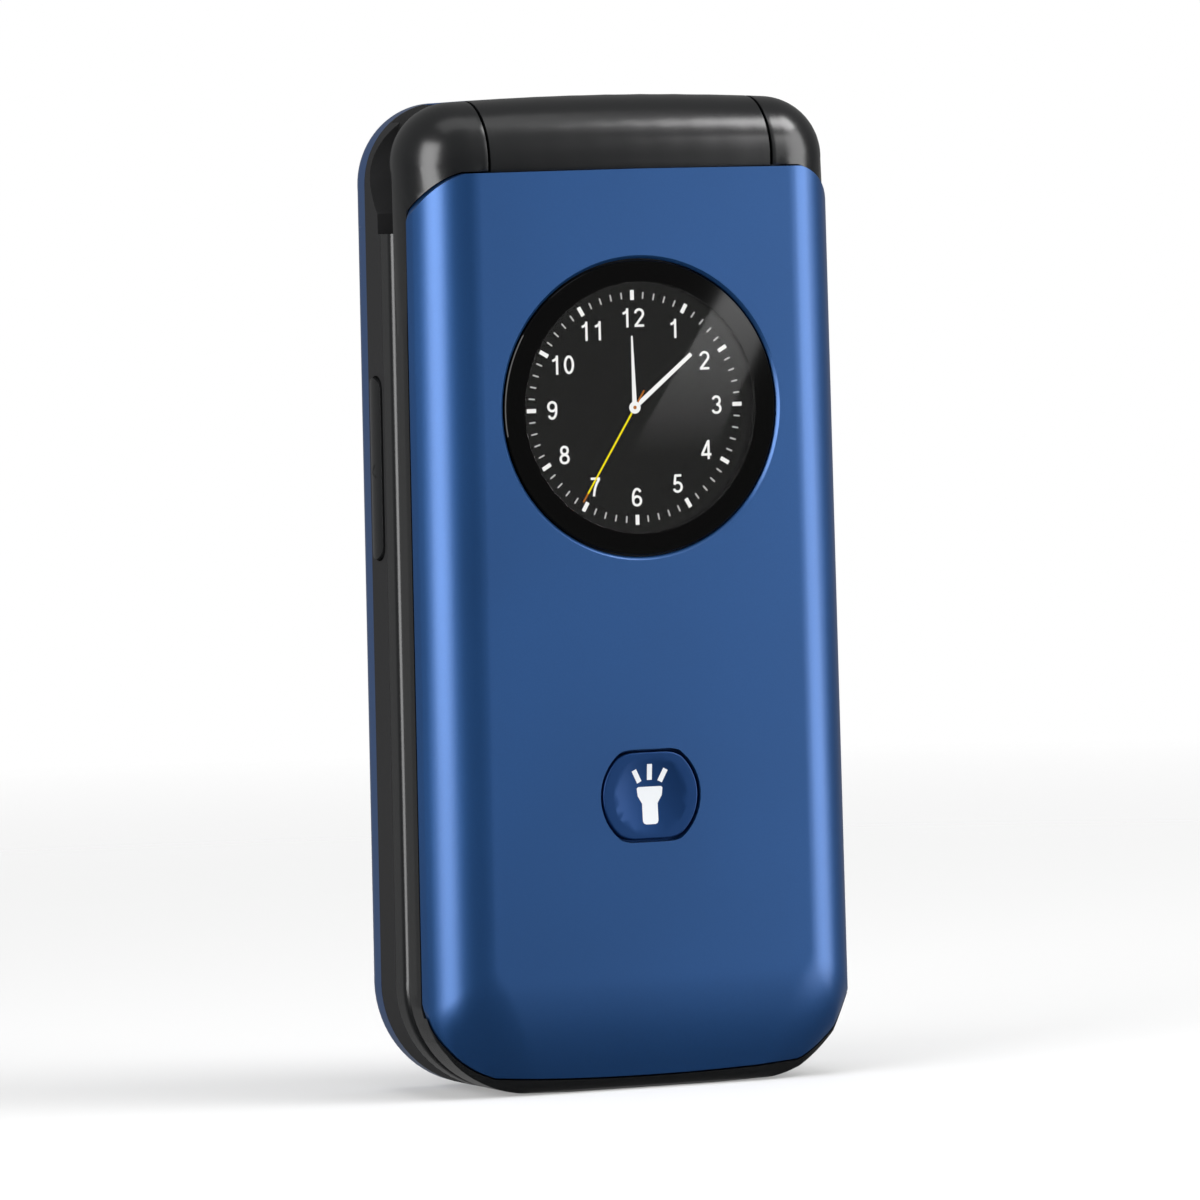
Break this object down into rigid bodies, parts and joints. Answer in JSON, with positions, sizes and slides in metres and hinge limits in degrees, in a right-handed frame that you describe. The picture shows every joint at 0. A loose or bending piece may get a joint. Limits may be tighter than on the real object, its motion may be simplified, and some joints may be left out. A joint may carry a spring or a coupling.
{
  "type": "flip phone",
  "caption": "Closed clamshell phone with a round outer clock window, a torch key, and a lid that opens on a barrel hinge over a keypad.",
  "frame": {"origin": "centre of the bottom end's footprint, midway between lid and back", "axes": "+Z from the bottom end to the hinge, -Y out of the lid's face, +X to the right as seen from the lid side"},
  "size_m": [0.052, 0.0206, 0.11],
  "materials": {
    "blue_metal": "anodised blue, satin",
    "black_satin": "satin black",
    "black_matte": "fine matte black",
    "dark_glass": "polished",
    "display": "smooth",
    "circuit_board": "green solder resist",
    "steel": "plain",
    "zinc": "machined",
    "brass": "machined",
    "film": "polyimide film",
    "keys_light": "satin",
    "keys_green": "satin",
    "keys_red": "satin",
    "rubber_dark": "soft",
    "component": "moulded",
    "clear_lens": "clear"
  },
  "bodies": {
    "phone": {"base_front": "black_satin", "base_rear": "black_matte", "back_cap": "blue_metal", "battery": "component", "battery_contacts": "brass", "main_board": "circuit_board", "key_domes": "steel", "shield_can": "steel", "usb_port": "steel", "microphone": "component", "sim_holder": "steel", "vibration_motor": "steel", "loudspeaker": "component", "camera_module": "component", "camera_window": "dark_glass", "flash_lens": "clear_lens", "antenna": "brass", "base_screws": "steel", "hinge_housing": "zinc", "hinge_clip": "steel", "hinge_flex": "film"},
    "lid": {"lid_cover": "blue_metal", "lid_frame": "black_satin", "lid_inner": "black_satin", "window_glass": "dark_glass", "outer_display": "display", "lid_board": "circuit_board", "torch_switch": "steel", "main_display": "display", "display_glass": "dark_glass", "earpiece": "component", "lid_magnet": "steel", "lid_screws": "steel", "bumpers": "rubber_dark", "hinge_shaft": "steel", "pivot_bush": "brass", "lid_flex": "film"},
    "torch": {"torch_key": "blue_metal"},
    "cover": {"battery_cover": "blue_metal"},
    "volume": {"volume_key": "black_satin"},
    "key_1_travel": {"key_1": "keys_light"},
    "key_2_travel": {"key_2": "keys_light"},
    "key_3_travel": {"key_3": "keys_light"},
    "key_4_travel": {"key_4": "keys_light"},
    "key_5_travel": {"key_5": "keys_light"},
    "key_6_travel": {"key_6": "keys_light"},
    "key_7_travel": {"key_7": "keys_light"},
    "key_8_travel": {"key_8": "keys_light"},
    "key_9_travel": {"key_9": "keys_light"},
    "key_star_travel": {"key_star": "keys_light"},
    "key_0_travel": {"key_0": "keys_light"},
    "key_hash_travel": {"key_hash": "keys_light"},
    "soft_key_left_travel": {"soft_key_left": "keys_light"},
    "soft_key_right_travel": {"soft_key_right": "keys_light"},
    "call_key_travel": {"call_key": "keys_green"},
    "end_key_travel": {"end_key": "keys_red"},
    "nav_ring_travel": {"nav_ring": "steel"},
    "ok_key_travel": {"ok_key": "keys_light"}
  },
  "joints": [
    {"name": "lid_hinge", "type": "hinge", "parent": "phone", "child": "lid", "pos_m": [0, -0.0024, 0.1027], "axis": [-1, 0, 0], "range_deg": [0, 160]},
    {"name": "torch_press", "type": "slide", "parent": "lid", "child": "torch", "axis": [0, 1, 0], "range_m": [0, 0.0004], "stiffness_N_per_m": 1500, "springref_m": -0.0008},
    {"name": "battery_cover_off", "type": "slide", "parent": "phone", "child": "cover", "axis": [0, 1, 0], "range_m": [0, 0.025]},
    {"name": "volume_rock", "type": "hinge", "parent": "phone", "child": "volume", "pos_m": [-0.02324, 0.00415, 0.06932], "axis": [0, 1, 0], "range_deg": [-1.5, 1.5], "stiffness_Nm_per_rad": 0.3},
    {"name": "key_1_press", "type": "slide", "parent": "phone", "child": "key_1_travel", "axis": [0, 1, 0], "range_m": [0, 0.0003], "stiffness_N_per_m": 1500, "springref_m": -0.0008},
    {"name": "key_2_press", "type": "slide", "parent": "phone", "child": "key_2_travel", "axis": [0, 1, 0], "range_m": [0, 0.0003], "stiffness_N_per_m": 1500, "springref_m": -0.0008},
    {"name": "key_3_press", "type": "slide", "parent": "phone", "child": "key_3_travel", "axis": [0, 1, 0], "range_m": [0, 0.0003], "stiffness_N_per_m": 1500, "springref_m": -0.0008},
    {"name": "key_4_press", "type": "slide", "parent": "phone", "child": "key_4_travel", "axis": [0, 1, 0], "range_m": [0, 0.0003], "stiffness_N_per_m": 1500, "springref_m": -0.0008},
    {"name": "key_5_press", "type": "slide", "parent": "phone", "child": "key_5_travel", "axis": [0, 1, 0], "range_m": [0, 0.0003], "stiffness_N_per_m": 1500, "springref_m": -0.0008},
    {"name": "key_6_press", "type": "slide", "parent": "phone", "child": "key_6_travel", "axis": [0, 1, 0], "range_m": [0, 0.0003], "stiffness_N_per_m": 1500, "springref_m": -0.0008},
    {"name": "key_7_press", "type": "slide", "parent": "phone", "child": "key_7_travel", "axis": [0, 1, 0], "range_m": [0, 0.0003], "stiffness_N_per_m": 1500, "springref_m": -0.0008},
    {"name": "key_8_press", "type": "slide", "parent": "phone", "child": "key_8_travel", "axis": [0, 1, 0], "range_m": [0, 0.0003], "stiffness_N_per_m": 1500, "springref_m": -0.0008},
    {"name": "key_9_press", "type": "slide", "parent": "phone", "child": "key_9_travel", "axis": [0, 1, 0], "range_m": [0, 0.0003], "stiffness_N_per_m": 1500, "springref_m": -0.0008},
    {"name": "key_star_press", "type": "slide", "parent": "phone", "child": "key_star_travel", "axis": [0, 1, 0], "range_m": [0, 0.0003], "stiffness_N_per_m": 1500, "springref_m": -0.0008},
    {"name": "key_0_press", "type": "slide", "parent": "phone", "child": "key_0_travel", "axis": [0, 1, 0], "range_m": [0, 0.0003], "stiffness_N_per_m": 1500, "springref_m": -0.0008},
    {"name": "key_hash_press", "type": "slide", "parent": "phone", "child": "key_hash_travel", "axis": [0, 1, 0], "range_m": [0, 0.0003], "stiffness_N_per_m": 1500, "springref_m": -0.0008},
    {"name": "soft_key_left_press", "type": "slide", "parent": "phone", "child": "soft_key_left_travel", "axis": [0, 1, 0], "range_m": [0, 0.0003], "stiffness_N_per_m": 1500, "springref_m": -0.0008},
    {"name": "soft_key_right_press", "type": "slide", "parent": "phone", "child": "soft_key_right_travel", "axis": [0, 1, 0], "range_m": [0, 0.0003], "stiffness_N_per_m": 1500, "springref_m": -0.0008},
    {"name": "call_key_press", "type": "slide", "parent": "phone", "child": "call_key_travel", "axis": [0, 1, 0], "range_m": [0, 0.0003], "stiffness_N_per_m": 1500, "springref_m": -0.0008},
    {"name": "end_key_press", "type": "slide", "parent": "phone", "child": "end_key_travel", "axis": [0, 1, 0], "range_m": [0, 0.0003], "stiffness_N_per_m": 1500, "springref_m": -0.0008},
    {"name": "nav_ring_press", "type": "slide", "parent": "phone", "child": "nav_ring_travel", "axis": [0, 1, 0], "range_m": [0, 0.0003], "stiffness_N_per_m": 1500, "springref_m": -0.0008},
    {"name": "ok_key_press", "type": "slide", "parent": "phone", "child": "ok_key_travel", "axis": [0, 1, 0], "range_m": [0, 0.0003], "stiffness_N_per_m": 1500, "springref_m": -0.0008}
  ]
}
